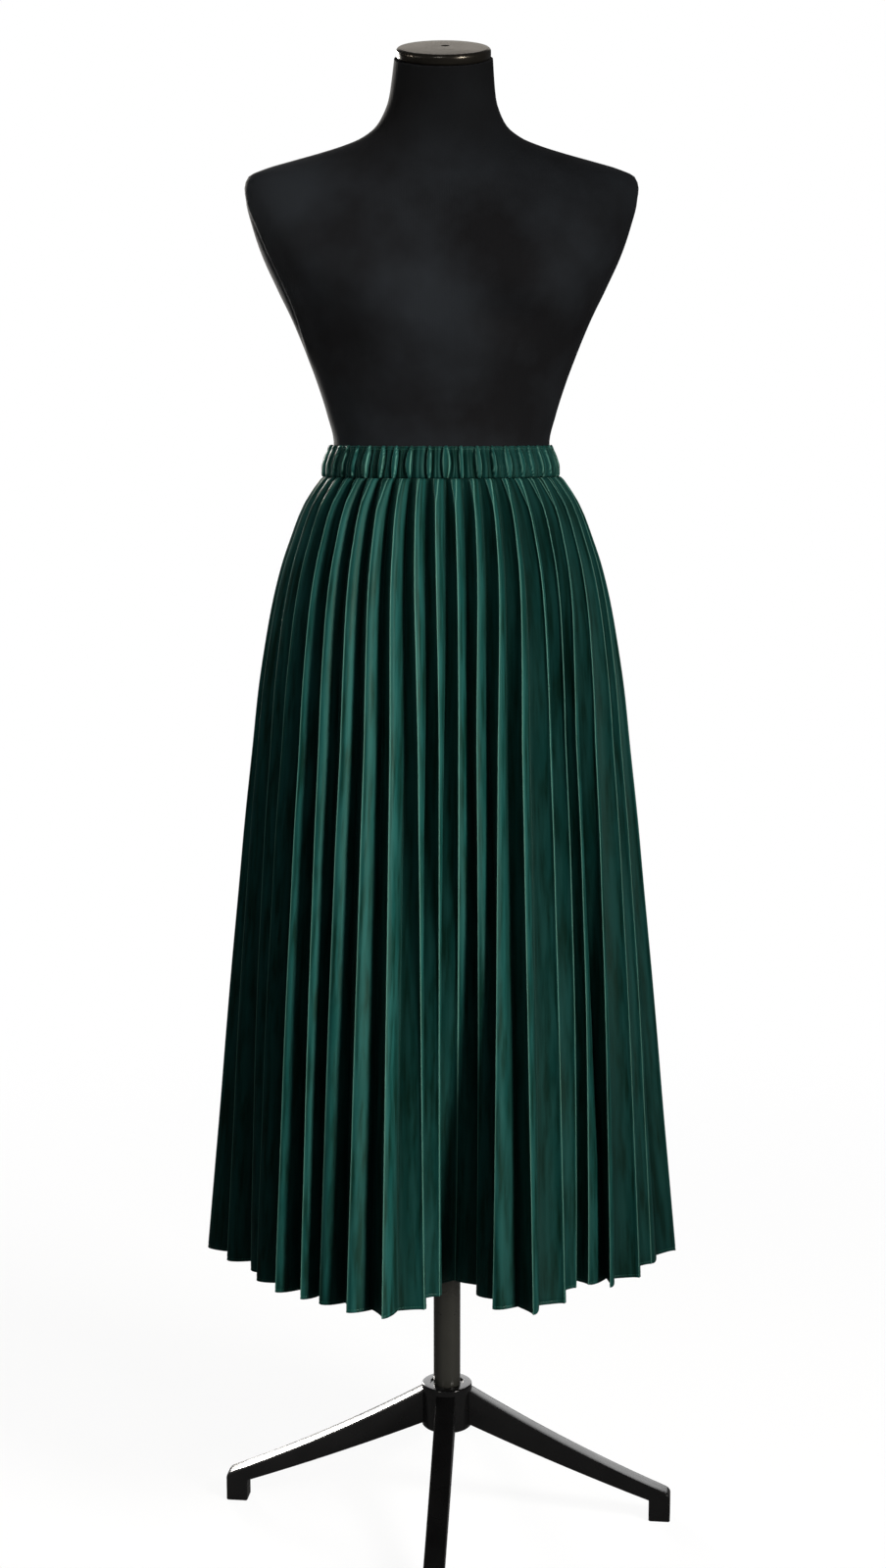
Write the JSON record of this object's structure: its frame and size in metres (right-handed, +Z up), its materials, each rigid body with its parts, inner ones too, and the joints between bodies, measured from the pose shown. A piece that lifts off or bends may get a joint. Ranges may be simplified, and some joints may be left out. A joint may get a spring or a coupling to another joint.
{
  "type": "pleated skirt on a dress form with a stand",
  "caption": "Long accordion-pleated skirt with a gathered elastic waistband, worn on a limbless dress form on a pole with a four-legged stand.",
  "frame": {"origin": "on the floor under the middle of the skirt", "axes": "+Z up, the skirt's front faces -Y, the wearer's left side is at +X"},
  "size_m": [0.5244, 0.5062, 1.615],
  "materials": {
    "cloth": "dark green satin-faced pleated polyester",
    "jersey": "matt black jersey",
    "cap": "satin gunmetal",
    "board": "matt black painted",
    "stand": "satin black powder coat"
  },
  "bodies": {
    "root": {"skirt_front": "cloth", "skirt_back": "cloth", "waistband": "cloth", "form_torso": "jersey", "neck_cap": "cap", "form_base_board": "board", "pole": "stand", "hub": "stand", "leg_front": "stand", "leg_back": "stand", "leg_left": "stand", "leg_right": "stand"}
  },
  "joints": []
}
